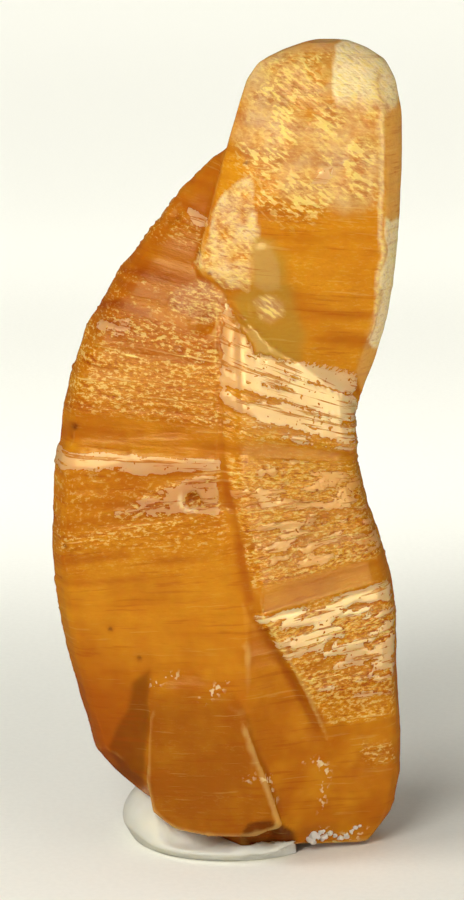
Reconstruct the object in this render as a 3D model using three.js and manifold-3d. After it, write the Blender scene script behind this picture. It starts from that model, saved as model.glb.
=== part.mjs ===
// A bent group of intergrown orange sapphire crystals, standing upright in a pad of clear putty.
// Millimetres, +Z up, the finest side towards -Y, origin under the middle of the group on the table.

import * as THREE from "three";
import { ConvexGeometry } from "three/addons/geometries/ConvexGeometry.js";
import { mergeVertices } from "three/addons/utils/BufferGeometryUtils.js";
import Module from "manifold-3d";

const wasm = await Module();
wasm.setup();

// Growth lines of the main crystal, from its foot to its tip. Each line is the rim of one growth
// layer: its left end as [x, z], its front ridge as [x, y, z], its right end as [x, z] and how far
// it reaches back. The lines fan out: they fall to the right near the tip and rise near the foot.
const BODY_LINES = [
  { left: [-2.1, 1.1], ridge: [0.6, -2.4, 0.45], right: [5.9, 0.1], back: 2.6 },
  { left: [-3.3, 1.9], ridge: [0.5, -3.3, 1.5], right: [6.75, 1.3], back: 3.6 },
  { left: [-4.5, 2.8], ridge: [0.45, -4.0, 3.0], right: [7.12, 2.75], back: 4.2 },
  { left: [-5.6, 4.05], ridge: [0.45, -4.5, 4.8], right: [7.15, 4.5], back: 4.7 },
  { left: [-6.12, 6.2], ridge: [0.55, -4.9, 7.0], right: [6.93, 7.15], back: 5.0 },
  { left: [-6.6, 8.0], ridge: [0.75, -5.15, 9.05], right: [6.86, 9.6], back: 5.3 },
  { left: [-6.9, 9.5], ridge: [0.75, -5.2, 10.7], right: [6.62, 11.4], back: 5.3 },
  { left: [-7.07, 11.0], ridge: [0.45, -5.1, 12.55], right: [6.13, 13.0], back: 5.25 },
  { left: [-7.12, 12.2], ridge: [0.1, -5.0, 13.95], right: [5.72, 14.1], back: 5.1 },
  { left: [-7.02, 13.4], ridge: [-0.2, -4.9, 15.1], right: [5.52, 14.85], back: 5.0 },
  { left: [-6.95, 14.8], ridge: [-0.28, -4.8, 15.95], right: [5.38, 15.35], back: 4.9 },
  { left: [-6.88, 16.2], ridge: [-0.28, -4.75, 16.75], right: [5.28, 15.85], back: 4.8 },
  { left: [-6.67, 17.8], ridge: [-0.28, -4.65, 17.95], right: [5.24, 16.5], back: 4.6 },
  { left: [-6.24, 19.75], ridge: [-0.3, -4.4, 19.55], right: [5.16, 17.5], back: 4.4 },
  { left: [-5.28, 22.05], ridge: [-0.42, -3.9, 21.4], right: [5.0, 18.8], back: 4.1 },
  { left: [-4.26, 23.7], ridge: [-0.35, -3.35, 23.0], right: [4.6, 20.4], back: 3.8 },
  { left: [-3.42, 24.8], ridge: [-0.4, -2.8, 24.3], right: [3.9, 22.0], back: 3.5 },
  { left: [-2.6, 25.8], ridge: [-0.4, -2.2, 25.4], right: [3.2, 23.4], back: 3.1 },
  { left: [-1.9, 26.8], ridge: [-0.3, -1.7, 26.6], right: [2.6, 25.0], back: 2.7 },
  { left: [-0.65, 28.0], ridge: [0.1, -1.2, 27.8], right: [2.1, 26.8], back: 2.2 },
  { left: [0.05, 28.5], ridge: [0.5, -0.8, 28.4], right: [1.7, 28.1], back: 1.7 },
];

// Growth lines of the upper crystal: the front left corner as [x, y, z], the front edge and the
// shoulder edge as [x, y], the right end as [x, z] and how far it reaches back.
const UPPER_LINES = [
  { left: [0.5, -0.8, 15.8], edge: [1.4, -1.2], shoulder: [3.6, -0.8], right: [4.3, 14.8], back: 2.2 },
  { left: [0.2, -1.4, 18.8], edge: [1.0, -2.0], shoulder: [4.3, -1.1], right: [5.05, 17.6], back: 2.8 },
  { left: [0.0, -2.0, 20.7], edge: [0.8, -3.0], shoulder: [4.8, -1.8], right: [5.54, 19.2], back: 3.2 },
  { left: [-0.4, -2.6, 22.7], edge: [0.7, -3.6], shoulder: [5.5, -2.4], right: [6.22, 21.2], back: 3.7 },
  { left: [-1.15, -2.95, 24.1], edge: [0.7, -3.8], shoulder: [6.0, -2.7], right: [6.63, 23.7], back: 4.1 },
  { left: [-0.75, -2.45, 26.2], edge: [0.9, -3.65], shoulder: [6.15, -2.7], right: [6.82, 26.3], back: 4.3 },
  { left: [-0.1, -1.6, 28.6], edge: [1.2, -3.25], shoulder: [6.15, -2.5], right: [6.87, 28.7], back: 4.1 },
  { left: [0.42, -1.1, 30.3], edge: [1.6, -2.8], shoulder: [6.0, -2.3], right: [6.84, 30.0], back: 3.7 },
  { left: [0.7, -0.9, 31.2], edge: [2.0, -2.3], shoulder: [5.7, -2.0], right: [6.66, 31.15], back: 3.1 },
  { left: [1.15, -0.7, 31.85], edge: [2.4, -1.8], shoulder: [5.2, -1.6], right: [6.25, 31.95], back: 2.5 },
  { left: [1.95, -0.5, 32.25], edge: [2.9, -1.2], shoulder: [4.7, -1.1], right: [5.5, 32.4], back: 1.8 },
  { left: [3.0, -0.3, 32.62], edge: [3.3, -0.6], shoulder: [4.1, -0.6], right: [4.7, 32.7], back: 1.0 },
];

// Corners of a plan section, as [share of the width, share of the reach to the front or the back].
const BODY_PLAN = {
  leftFront: [0.05, 0.3],
  rightFront: [0.96, 0.3],
  right: [1, 0.05],
  rightBack: [0.86, 0.64],
  rear: [0.52, 1],
  leftBack: [0.12, 0.66],
  left: [0, 0.1],
};
const UPPER_PLAN = {
  rightFront: [1, -0.25],
  right: [0.97, 0.3],
  rightBack: [0.75, 0.85],
  rear: [0.4, 1],
  leftBack: [0.1, 0.66],
  left: [0.03, 0.12],
};

// Growth plates, by their heights at the front ridge. A plate stands proud of the faces for which
// it names a thickness. Its rims are steep, or run over the given foot or head length.
const BODY_PLATES = [
  { from: 1.8, to: 3.4, back: 0.2 },
  { from: 10.4, to: 22.6, right: 0.32 },
  { from: 4.6, to: 10.6, foot: 2.6, right: 0.46, back: 0.28 },
  { from: 11.5, to: 13.7, foot: 0.2, right: 0.38, back: 0.2 },
  { from: 14.05, to: 17.1, right: 0.42 },
  { from: 12.7, to: 16.95, foot: 2.4, head: 0.45, left: 0.28, back: 0.3 },
  { from: 17.95, to: 19.6, foot: 0.3, right: 0.46, left: 0.13, back: 0.2 },
  { from: 19.75, to: 22.6, right: 0.5 },
  { from: 20.4, to: 21.2, left: 0.15, back: 0.3 },
  { from: 22.6, to: 23.4, left: 0.13, back: 0.2 },
  { from: 24.6, to: 25.4, left: 0.1, back: 0.2 },
];
const UPPER_PLATES = [
  { from: 21.4, to: 22.6, back: 0.25 },
  { from: 23.6, to: 25.1, front: 0.14, back: 0.3 },
  { from: 27.4, to: 28.0, front: 0.1, back: 0.2 },
];
const GROUND_STEP = 0.06; // a face between two plates stands this proud
const RIM = 0.07; // height of a plate's steep rim

// The right plates start beside the ridge. Lower down their left rim runs off to the right.
const RIM_GAP = 0.3;
const DIAGONAL_RIM = { top: [11.0, 0.92], bottom: [5.5, 3.64] }; // [height, x]
const RIM_WIDTH = 0.02; // share of the right face that the rim of a plate takes

// The foot crystal: the outline of its front face as [x, z], and how that face lies.
const FOOT_OUTLINE = [
  [-3.1, 7.0], [-2.4, 7.6], [-1.2, 7.9], [0.1, 7.6], [0.8, 6.2], [1.1, 5.0],
  [1.55, 3.9], [1.9, 2.7], [2.2, 1.7], [1.2, 1.3], [-0.8, 1.15], [-2.2, 1.3], [-3.0, 1.9], [-3.25, 3.2],
];
const FOOT_FACE = { at: [0.4, -5.0, 7.5], leftFall: 0.46, rightFall: 0.12, lean: 0.17 };
const FOOT_DEPTH = 2.6;
const FOOT_BEVEL = 0.16;

// Places where a ball takes a bite, as [x, z, radius, depth], seen from the front.
const FRONT_PITS = [
  [-1.3, 15.15, 0.44, 0.32], // the round pit
  [-6.3, 17.05, 0.3, 0.16],
  [-2.05, 25.9, 0.5, 0.2],
  [-6.35, 12.4, 0.28, 0.14],
  [-6.3, 12.05, 0.28, 0.14],
  [-0.95, 22.2, 0.9, 0.3],
  [1.45, 30.6, 0.8, 0.12],
];
const BACK_PITS = [
  [2.2, 10.4, 0.9, 0.22],
  [-3.0, 17.2, 0.5, 0.25],
  [4.2, 27.2, 1.1, 0.2],
  [-1.4, 5.2, 0.7, 0.24],
];

// Broken corners: a point on the break and its outward direction.
const BREAKS = [
  { at: [-4.35, -0.9, 3.35], facing: [-0.62, -0.5, -0.6] },
  { at: [-3.4, 2.6, 3.0], facing: [-0.5, 0.6, -0.62] },
  { at: [6.3, 2.2, 2.4], facing: [0.55, 0.6, -0.58] },
];
const HOLLOW = { at: [1.75, -3.5, 0.75], radii: [0.85, 1.4, 0.85] }; // under the front lip

const PUTTY = { centre: [0.0, 0.85], radii: [4.35, 4.1], height: 2.5, lip: 0.5 };
const CLEARANCE = 0.3; // room between the putty and the crystals

const CORNER_WEAR = 0.55; // how far a worn corner reaches along its faces
const RIDGE_WEAR = 0.22;
const EDGE_WEAR = 1.1; // the upper crystal's front edge is the most worn
const WEAR_LIMIT = 0.4; // share of a face that the wear of one corner may take

const BALL_DETAIL = 2;
const FAR_AWAY = 20; // well outside the group

// A closed solid from a geometry, once only positions are left and shared vertices are merged.
function solidFrom(geometry) {
  const bare = geometry.index ? geometry.toNonIndexed() : geometry.clone();
  bare.deleteAttribute("normal");
  bare.deleteAttribute("uv");
  const merged = mergeVertices(bare, 1e-4);
  return new wasm.Manifold(
    new wasm.Mesh({
      numProp: 3,
      vertProperties: merged.attributes.position.array,
      triVerts: new Uint32Array(merged.index.array),
    }),
  );
}

function geometryFrom(solid) {
  const mesh = solid.getMesh();
  const geometry = new THREE.BufferGeometry();
  geometry.setAttribute("position", new THREE.BufferAttribute(mesh.vertProperties, 3));
  geometry.setIndex(new THREE.BufferAttribute(mesh.triVerts, 1));
  const flat = geometry.toNonIndexed();
  flat.computeVertexNormals();
  return flat;
}

// A closed skin over rings of points. Rings run anticlockwise seen from above, bottom ring first.
function loft(rings) {
  const count = rings[0].length;
  const points = rings.flat();
  const index = [];
  for (let layer = 0; layer + 1 < rings.length; layer++) {
    for (let i = 0; i < count; i++) {
      const j = (i + 1) % count;
      const low = layer * count;
      const high = low + count;
      index.push(low + i, low + j, high + j, low + i, high + j, high + i);
    }
  }
  const cap = (ring, first, facesUp) => {
    const middle = new THREE.Vector3();
    ring.forEach((p) => middle.addScaledVector(p, 1 / count));
    points.push(middle);
    for (let i = 0; i < count; i++) {
      const j = (i + 1) % count;
      index.push(points.length - 1, first + (facesUp ? i : j), first + (facesUp ? j : i));
    }
  };
  cap(rings[0], 0, false);
  cap(rings.at(-1), (rings.length - 1) * count, true);
  return solidFrom(new THREE.BufferGeometry().setFromPoints(points).setIndex(index));
}

// A smooth curve through one value of every growth line, read by the line's number.
function through(values) {
  const curve = new THREE.CatmullRomCurve3(values.map((v) => new THREE.Vector3(...v)));
  return (line) => curve.getPoint(line / (values.length - 1));
}

// Outward direction of the face that runs from p to q, on a ring that runs anticlockwise.
function outward(p, q) {
  return new THREE.Vector2(q.y - p.y, p.x - q.x).normalize();
}

// A plan polygon with each corner worn back over its own distance, three points to a corner. The
// middle one is half way along the curve that leaves and meets the faces without a kink.
function wear(corners) {
  const count = corners.length;
  return corners.flatMap(({ at, reach }, i) => {
    if (reach === 0) return [at];
    const before = corners[(i + count - 1) % count].at;
    const after = corners[(i + 1) % count].at;
    const back = Math.min(reach, WEAR_LIMIT * at.distanceTo(before));
    const on = Math.min(reach, WEAR_LIMIT * at.distanceTo(after));
    const start = at.clone().lerp(before, back / at.distanceTo(before));
    const end = at.clone().lerp(after, on / at.distanceTo(after));
    const middle = start.clone().add(end).multiplyScalar(0.25).addScaledVector(at, 0.5);
    return [start, middle, end];
  });
}

// How proud one side of a crystal stands at a height.
function proudness(plates, side, height) {
  let proud = GROUND_STEP;
  for (const { from, to, foot = RIM, head = RIM, [side]: thickness = 0 } of plates) {
    const rise = THREE.MathUtils.clamp(Math.min((height - from) / foot, (to - height) / head), 0, 1);
    proud = Math.max(proud, GROUND_STEP + (thickness - GROUND_STEP) * rise);
  }
  return proud;
}

// Heights at which a loft needs a ring for the rims of plates to be crisp.
function rimHeights(plates) {
  return plates.flatMap(({ from, to, foot = RIM, head = RIM }) => [from, from + foot, to - head, to]);
}

// The rings of one crystal. heightAt gives a line's height at the front; ringAt makes its ring.
function growthRings(lineCount, heightAt, ringAt, plates) {
  const last = lineCount - 1;
  const lineAt = (height) => {
    let low = 0;
    let high = last;
    for (let step = 0; step < 30; step++) {
      const middle = (low + high) / 2;
      if (heightAt(middle) < height) low = middle;
      else high = middle;
    }
    return low;
  };
  const lines = [];
  for (let i = 0; i <= last; i++) lines.push(i);
  const rims = rimHeights(plates).filter((h) => h > heightAt(0) && h < heightAt(last));
  const rimLines = rims.map(lineAt);
  const tooNear = 0.12; // in lines
  const kept = lines.filter((line) => rimLines.every((rim) => Math.abs(rim - line) > tooNear));
  const ordered = [0, last, ...kept, ...rimLines].sort((a, b) => a - b);
  return ordered.filter((line, i) => i === 0 || line - ordered[i - 1] > 1e-3).map(ringAt);
}

// The large bent crystal, with a front ridge between its left and right faces.
function bodyCrystal() {
  const leftEnd = through(BODY_LINES.map(({ left }) => [left[0], 0, left[1]]));
  const rightEnd = through(BODY_LINES.map(({ right }) => [right[0], 0, right[1]]));
  const ridge = through(BODY_LINES.map((l) => l.ridge));
  const back = through(BODY_LINES.map((l) => [0, l.back, 0]));

  const layerHeight = (line, x) => {
    const [l, m, r] = [leftEnd(line), ridge(line), rightEnd(line)];
    const [from, to] = x < m.x ? [l, m] : [m, r];
    return THREE.MathUtils.mapLinear(x, from.x, to.x, from.z, to.z);
  };
  const ridgeHeight = (line) => ridge(line).z;

  const rimX = (height, ridgeX) => {
    const { top, bottom } = DIAGONAL_RIM;
    if (height > top[0]) return ridgeX + RIM_GAP;
    return THREE.MathUtils.mapLinear(height, top[0], bottom[0], top[1], bottom[1]);
  };

  const ringAt = (line) => {
    const [l, r, front, depth] = [leftEnd(line), rightEnd(line), ridge(line), back(line).y];
    const width = r.x - l.x;
    const height = ridgeHeight(line);
    const corner = ([share, reach], side) => new THREE.Vector2(l.x + share * width, reach * side);
    const left = corner(BODY_PLAN.left, depth);
    const leftFront = corner(BODY_PLAN.leftFront, front.y);
    const crest = new THREE.Vector2(front.x, front.y);
    const rightFront = corner(BODY_PLAN.rightFront, front.y);
    const right = corner(BODY_PLAN.right, depth);
    const rightBack = corner(BODY_PLAN.rightBack, depth);
    const rear = corner(BODY_PLAN.rear, depth);
    const leftBack = corner(BODY_PLAN.leftBack, depth);

    const share = (rimX(height, crest.x) - crest.x) / (rightFront.x - crest.x);
    const start = THREE.MathUtils.clamp(share, 0.02, 0.85);
    const rimFoot = crest.clone().lerp(rightFront, start);
    const rimTop = crest.clone().lerp(rightFront, start + RIM_WIDTH);
    const rightOut = outward(crest, rightFront);
    const [leftProud, rightProud, backProud] = ["left", "right", "back"].map((side) =>
      proudness(BODY_PLATES, side, height),
    );
    rimTop.addScaledVector(rightOut, rightProud);
    rightFront.addScaledVector(rightOut, rightProud);
    leftFront.addScaledVector(outward(leftFront, crest), leftProud);
    left.x -= 0.5 * leftProud;
    rear.y += backProud;
    rightBack.addScaledVector(outward(rightBack, rear), backProud);
    leftBack.addScaledVector(outward(rear, leftBack), backProud);

    const worn = (corner, reach = CORNER_WEAR) => ({ at: corner, reach });
    const plan = wear([
      worn(left), worn(leftFront), worn(crest, RIDGE_WEAR), worn(rimFoot, 0), worn(rimTop, 0),
      worn(rightFront), worn(right), worn(rightBack), worn(rear), worn(leftBack),
    ]);
    return plan.map((p) => new THREE.Vector3(p.x, p.y, layerHeight(line, p.x)));
  };

  return loft(growthRings(BODY_LINES.length, ridgeHeight, ringAt, BODY_PLATES));
}

// The crystal that rises from the upper right of the large one and ends in a worn dome.
function upperCrystal() {
  const leftCorner = through(UPPER_LINES.map(({ left }) => left));
  const rightEnd = through(UPPER_LINES.map(({ right }) => [right[0], 0, right[1]]));
  const frontEdge = through(UPPER_LINES.map((l) => [...l.edge, 0]));
  const shoulderEdge = through(UPPER_LINES.map((l) => [...l.shoulder, 0]));
  const back = through(UPPER_LINES.map((l) => [0, l.back, 0]));

  const layerHeight = (line, x) => {
    const [l, r] = [leftCorner(line), rightEnd(line)];
    return THREE.MathUtils.mapLinear(x, l.x, r.x, l.z, r.z);
  };
  const edgeHeight = (line) => layerHeight(line, frontEdge(line).x);

  const ringAt = (line) => {
    const [l, r, edge, shoulder] = [leftCorner, rightEnd, frontEdge, shoulderEdge].map((f) => f(line));
    const depth = back(line).y;
    const width = r.x - l.x;
    const [proud, backProud] = ["front", "back"].map((side) =>
      proudness(UPPER_PLATES, side, edgeHeight(line)),
    );
    const at = (x, y, reach = CORNER_WEAR) => ({ at: new THREE.Vector2(x, y), reach });
    const corner = ([share, reach], raised = 0) => at(l.x + share * width, reach * depth + raised);
    const plan = wear([
      corner(UPPER_PLAN.left),
      at(l.x, l.y, RIDGE_WEAR),
      at(edge.x, edge.y - proud, EDGE_WEAR),
      at(shoulder.x, shoulder.y - proud, RIDGE_WEAR),
      corner(UPPER_PLAN.rightFront),
      corner(UPPER_PLAN.right),
      corner(UPPER_PLAN.rightBack, backProud),
      corner(UPPER_PLAN.rear, backProud),
      corner(UPPER_PLAN.leftBack, backProud),
    ]);
    return plan.map((p) => new THREE.Vector3(p.x, p.y, layerHeight(line, p.x)));
  };
  return loft(growthRings(UPPER_LINES.length, edgeHeight, ringAt, UPPER_PLATES));
}

// The small crystal at the foot, proud of the large one's lower left face.
function footCrystal() {
  const { at, leftFall, rightFall, lean } = FOOT_FACE;
  const faceY = (x, z) =>
    at[1] + (x < at[0] ? (at[0] - x) * leftFall : (x - at[0]) * rightFall) + (at[2] - z) * lean;
  const middle = new THREE.Vector2();
  FOOT_OUTLINE.forEach(([x, z]) => middle.add(new THREE.Vector2(x, z)));
  middle.divideScalar(FOOT_OUTLINE.length);
  const rim = (grow, deeper) =>
    FOOT_OUTLINE.map(([x, z]) => {
      const from = new THREE.Vector2(x, z).sub(middle);
      const moved = from.setLength(from.length() + grow).add(middle);
      return new THREE.Vector3(moved.x, faceY(x, z) + deeper, moved.y);
    });
  const points = [...rim(-FOOT_BEVEL, 0), ...rim(0, FOOT_BEVEL), ...rim(-0.2, FOOT_DEPTH)];
  return solidFrom(new ConvexGeometry(points));
}

// Balls that bite into the surface, found by looking at the solid along Y from the front or back.
function pitBalls(solid, pits, fromFront) {
  const target = new THREE.Mesh(geometryFrom(solid), new THREE.MeshBasicMaterial({ side: THREE.DoubleSide }));
  const look = new THREE.Vector3(0, fromFront ? 1 : -1, 0);
  return pits.flatMap(([x, z, radius, depth]) => {
    const eye = new THREE.Vector3(x, fromFront ? -FAR_AWAY : FAR_AWAY, z);
    const [hit] = new THREE.Raycaster(eye, look).intersectObject(target);
    if (!hit) return [];
    const centre = hit.point.addScaledVector(hit.face.normal, radius - depth);
    const ball = new THREE.IcosahedronGeometry(radius, BALL_DETAIL).translate(...centre);
    return [solidFrom(ball)];
  });
}

// A block that covers everything beyond a broken face.
function breakBlock({ at, facing }) {
  const block = new THREE.BoxGeometry(FAR_AWAY, FAR_AWAY, FAR_AWAY).translate(0, 0, FAR_AWAY / 2);
  const normal = new THREE.Vector3(...facing).normalize();
  const turn = new THREE.Quaternion().setFromUnitVectors(new THREE.Vector3(0, 0, 1), normal);
  return solidFrom(block.applyQuaternion(turn).translate(...at));
}

function hollowBall({ at, radii }) {
  return solidFrom(new THREE.IcosahedronGeometry(1, BALL_DETAIL).scale(...radii).translate(...at));
}

function crystalGroup() {
  const broken = wasm.Manifold.union(BREAKS.map(breakBlock));
  const grown = bodyCrystal().subtract(broken).add(upperCrystal()).add(footCrystal());
  const pits = [...pitBalls(grown, FRONT_PITS, true), ...pitBalls(grown, BACK_PITS, false)];
  const worn = grown.subtract(wasm.Manifold.union([...pits, hollowBall(HOLLOW)]));
  const [largest] = worn.decompose().sort((a, b) => b.volume() - a.volume());
  return largest;
}

// A low pad with a rounded rim, pressed out by the crystals that stand in it.
function puttyPad(crystals) {
  const { centre, radii, height, lip } = PUTTY;
  const profile = [new THREE.Vector2(0, 0), new THREE.Vector2(1 - lip * 0.2, 0)];
  const roundSteps = 6;
  for (let i = 0; i <= roundSteps; i++) {
    const turn = (Math.PI / 2) * (i / roundSteps);
    profile.push(new THREE.Vector2(1 - lip * (1 - Math.cos(turn)), (0.3 + 0.7 * Math.sin(turn)) * height));
  }
  profile.push(new THREE.Vector2(0, height));
  const pad = new THREE.LatheGeometry(profile, 40).rotateX(Math.PI / 2);
  pad.scale(radii[0], radii[1], 1).translate(centre[0], centre[1], 0);
  const solid = solidFrom(pad);
  const upright = solid.volume() < 0 ? solidFrom(pad.scale(1, -1, 1)) : solid;
  const shifts = [[1, 0, 0], [-1, 0, 0], [0, 1, 0], [0, -1, 0], [0, 0, -1], [0, 0, 0]];
  const room = wasm.Manifold.union(shifts.map((s) => crystals.translate(s.map((v) => v * CLEARANCE))));
  const [largest] = upright.subtract(room).decompose().sort((a, b) => b.volume() - a.volume());
  return largest;
}

const CRYSTAL_LOOK = { color: 0xc8781a, roughness: 0.25, metalness: 0 };
const PUTTY_LOOK = { color: 0xdcdccf, roughness: 0.35, metalness: 0, transparent: true, opacity: 0.6 };

function namedMesh(name, solid, look) {
  const mesh = new THREE.Mesh(geometryFrom(solid), new THREE.MeshStandardMaterial(look));
  mesh.name = name;
  return mesh;
}

const crystals = crystalGroup();
const specimen = new THREE.Group();
specimen.add(namedMesh("sapphire_crystals", crystals, CRYSTAL_LOOK));
specimen.add(namedMesh("clear_putty", puttyPad(crystals), PUTTY_LOOK));

// The origin is moved under the middle of the whole footprint, at table height.
const bounds = new THREE.Box3().setFromObject(specimen);
const middle = bounds.getCenter(new THREE.Vector3());
specimen.children.forEach((mesh) => mesh.position.set(-middle.x, -middle.y, -bounds.min.z));

export default specimen;
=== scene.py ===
"""A water-worn group of orange sapphire crystals in clear mounting putty, on pale paper.

The file is laid out as an add-on. Its property groups hold the sizes and colours to change, each
piece has an operator, and a panel in the sidebar lists them.
"""

import math

import bmesh
import bpy
import numpy as np
from bpy.props import FloatProperty, FloatVectorProperty, PointerProperty
from mathutils import Matrix, Vector, noise
from mathutils.bvhtree import BVHTree


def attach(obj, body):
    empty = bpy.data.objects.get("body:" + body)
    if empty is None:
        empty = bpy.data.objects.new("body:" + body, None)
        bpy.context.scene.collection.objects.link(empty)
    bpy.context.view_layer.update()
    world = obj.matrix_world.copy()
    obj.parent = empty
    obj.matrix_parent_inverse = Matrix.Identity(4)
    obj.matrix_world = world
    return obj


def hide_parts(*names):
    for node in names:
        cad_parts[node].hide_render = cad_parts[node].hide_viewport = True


bl_info = {
    "name": "Sapphire crystal specimen",
    "version": (1, 0, 0),
    "blender": (4, 5, 0),
    "location": "3D View > Sidebar > Specimen",
    "description": "Builds a water-worn group of orange sapphire crystals in mounting putty",
    "category": "Add Mesh",
}

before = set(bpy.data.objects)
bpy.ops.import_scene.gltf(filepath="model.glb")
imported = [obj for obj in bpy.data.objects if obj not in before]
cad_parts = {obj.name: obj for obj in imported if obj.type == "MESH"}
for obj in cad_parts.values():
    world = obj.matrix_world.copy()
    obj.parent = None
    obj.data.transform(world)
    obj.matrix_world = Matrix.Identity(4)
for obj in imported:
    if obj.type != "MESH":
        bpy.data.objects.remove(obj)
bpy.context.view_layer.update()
MM = 0.001
BODY = "root"
CRYSTALS = "sapphire_crystals"
PUTTY = "clear_putty"
CRYSTALS_PIECE = "sapphire_crystal_group"
PUTTY_PIECE = "pressed_putty_pad"

# The camera's place and lens.
CAMERA_ELEVATION = math.radians(12)
CAMERA_DISTANCE = 150 * MM
CAMERA_LENS = 150
CAMERA_SENSOR = 36
CAMERA_CLIP = (1 * MM, 5.0)
CAMERA_TARGET = Vector((0.2, -0.13, 16.3)) * MM
TOWARDS_CAMERA = np.array((0, -math.cos(CAMERA_ELEVATION), math.sin(CAMERA_ELEVATION)))
UP_IN_VIEW = np.array((0, math.sin(CAMERA_ELEVATION), math.cos(CAMERA_ELEVATION)))

# The paper: a round floor whose rim curves up, in millimetres.
CENTRE_RADIUS = 1
FLOOR_RADIUS = 560
RIM_RADIUS = 120
RIM_STEPS = 8
WALL_TOP = 300
FLOOR_SIDES = 64

# The lights: name, kind, place and size in millimetres, and radiance. The kind says what a light
# adds: "matt" is diffuse reflection, "floor" the same on the floor below the light, "plate" the
# sheen of the growth plates and "glass" the sparkle of the clear crystal itself.
LIGHTS = (
    ("key_left", "matt", (-105, -45, 90), (60, 60), 9.0),
    ("key_front", "matt", (-45, -118, 95), (60, 60), 11.2),
    ("top_fill", "matt", (0, 15, 160), (120, 90), 1.15),
    ("right_fill", "matt", (120, -95, 18), (80, 40), 12.0),
    ("far_wash", "floor", (0, 265, 90), (560, 450), 0.75),
    ("distant_wash", "floor", (0, 370, 90), (700, 460), 0.32),
    ("plate_glow", "plate", (115, -55, 22), (60, 110), 4.4),
    ("plate_glow_left", "plate", (-115, -60, 60), (60, 60), 3.0),
    ("spark_left", "glass", (-125, -75, 70), (50, 50), 17.0),
    ("spark_front", "glass", (-15, -145, 95), (50, 50), 36.0),
    ("spark_right", "glass", (120, -95, 60), (40, 40), 40.0),
)
WHITE = (1.0, 1.0, 1.0)
WARM = (1.0, 0.78, 0.34)  # tint of the lights that make the glints
SKY = (1.0, 0.99, 0.94, 1.0)
FLOOR_SPREAD = math.radians(44)

# Refraction, grain and milk of the materials. The grain is in lumps per millimetre. Streaks and
# sugar follow the growth: across the face, up through the layers and into the depth. Dashes follow
# the slant of the etching: along it, into the depth and across it.
CORUNDUM_IOR = 1.77
PUTTY_IOR = 1.45
STREAKS_GRAIN = (0.35, 5.5, 0.35)
SUGAR_GRAIN = (3.6, 8.6, 3.6)
DASHES_GRAIN = (2.2, 2.2, 6.5)
PORES_GRAIN = 4.6
MILKY = (0.94, 0.91, 0.8)

# How the random fields are made up: the step between two seeds, and how much finer and fainter
# each octave is than the last.
SEED_STEP = 7.31
FINER = 2.1
FAINTER = 1.6

# Rounds of smoothing: of the whole surface, where faces run softly into each other, and for telling
# edges and creases from faces.
WEAR_ROUNDS = 2
MERGING_ROUNDS = 40
EDGE_ROUNDS = 8
LAYER_ROUNDS = 6  # for finding the growth layer of a point

# Low relief of the crystals, in millimetres. The sizes of bands, plates and etching go in the same
# directions as the grain above.
STRAY = 0.2  # how far the outlines of the zones waver
SHARP = 0.12  # blur of the sharpest outlines
WINDOW_BLUR = 0.55  # of the clear window in the upper crystal
WIDE_BANDS = (5.0, 0.55, 5.0)
NARROW_BANDS = (2.5, 0.22, 2.5)
PLATE_LUMPS = (2.3, 0.45, 2.3)
ETCHING_LUMPS = (0.9, 0.9, 0.3)
ETCHING_LEAN = 38  # degrees that the glints of the etching fall to the right
SWELL = 0.03  # of the worn faces
MOTTLED_SWELL = 0.02  # that goes with the mottled colour
PIT_DEPTH = 0.07
PIT_SIZE = 0.3
PIT_RIM = 0.05  # height of its bright rim
NICK_DEPTH = 0.1
NICK_SIZE = 0.16
SPECK_SIZE = 0.09

# The putty, in millimetres.
PUTTY_ROUNDS = 3
PUTTY_OVERLAP = 0.08  # how far it is pressed into the crystals, so that no gap shows
PUTTY_LUMP = 0.1
PUTTY_FOOT = 0.05  # the rim below this height stays where it is
FRONT_FLATTENING = 0.45  # share by which the front of the pad is lower

WELD_DISTANCE = 1e-6  # of a solid's points, in metres

# Growth layers of the large crystal: height at the front ridge, the ridge's place across, and
# how much the layer climbs per millimetre to the right, on the left face and on the right face.
GROWTH_LINES = np.array((
    (0.4, 0.68, 0.13, -0.08),
    (4.8, 0.53, 0.124, -0.045),
    (7.0, 0.63, 0.12, 0.024),
    (9.05, 0.83, 0.143, 0.09),
    (10.7, 0.83, 0.157, 0.119),
    (12.55, 0.53, 0.206, 0.079),
    (13.95, 0.18, 0.242, 0.027),
    (15.1, -0.13, 0.249, -0.044),
    (15.95, -0.2, 0.172, -0.106),
    (16.75, -0.2, 0.083, -0.162),
    (17.95, -0.2, 0.024, -0.263),
    (19.55, -0.22, -0.034, -0.375),
    (21.4, -0.34, -0.134, -0.48),
    (23.0, -0.28, -0.179, -0.525),
    (28.4, 0.58, -0.22, -0.4),
))
UPPER_CLIMB = -0.09  # of the upper crystal's layers

# Rows of a growth layer and an amount from 0 to 1. Frost is sugary etching, shine is the share of
# a face that mirror-bright growth plates cover, and gleam is how bright they are: it turns their
# painted sheen from peach to cream and thickens their coat.
LEFT_FROST = (
    (4.0, 0.02), (12.0, 0.06), (13.0, 0.14), (14.6, 0.4), (16.3, 0.3), (16.5, 0.25), (17.0, 0.08),
    (18.1, 0.14), (18.35, 0.6), (20.5, 0.55), (20.9, 0.75), (21.5, 0.6), (21.75, 0.15), (22.3, 0.4),
    (22.9, 0.4), (23.2, 0.08), (24.2, 0.08), (24.5, 0.4), (25.3, 0.35), (26.0, 0.1), (28.0, 0.05),
)
RIGHT_FROST = (
    (5.0, 0.0), (5.6, 0.3), (6.4, 0.8), (8.8, 0.85), (10.6, 0.75), (10.85, 0.12), (11.8, 0.12),
    (12.05, 0.75), (15.2, 0.7), (16.4, 0.55), (17.0, 0.45), (17.25, 0.18), (17.85, 0.2),
    (18.1, 0.5), (19.0, 0.3), (22.0, 0.25),
)
RIGHT_GLEAM = ((8.0, 0.6), (10.7, 0.75), (11.0, 0.1), (17.0, 0.1), (18.0, 0.5), (19.0, 0.6))
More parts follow.
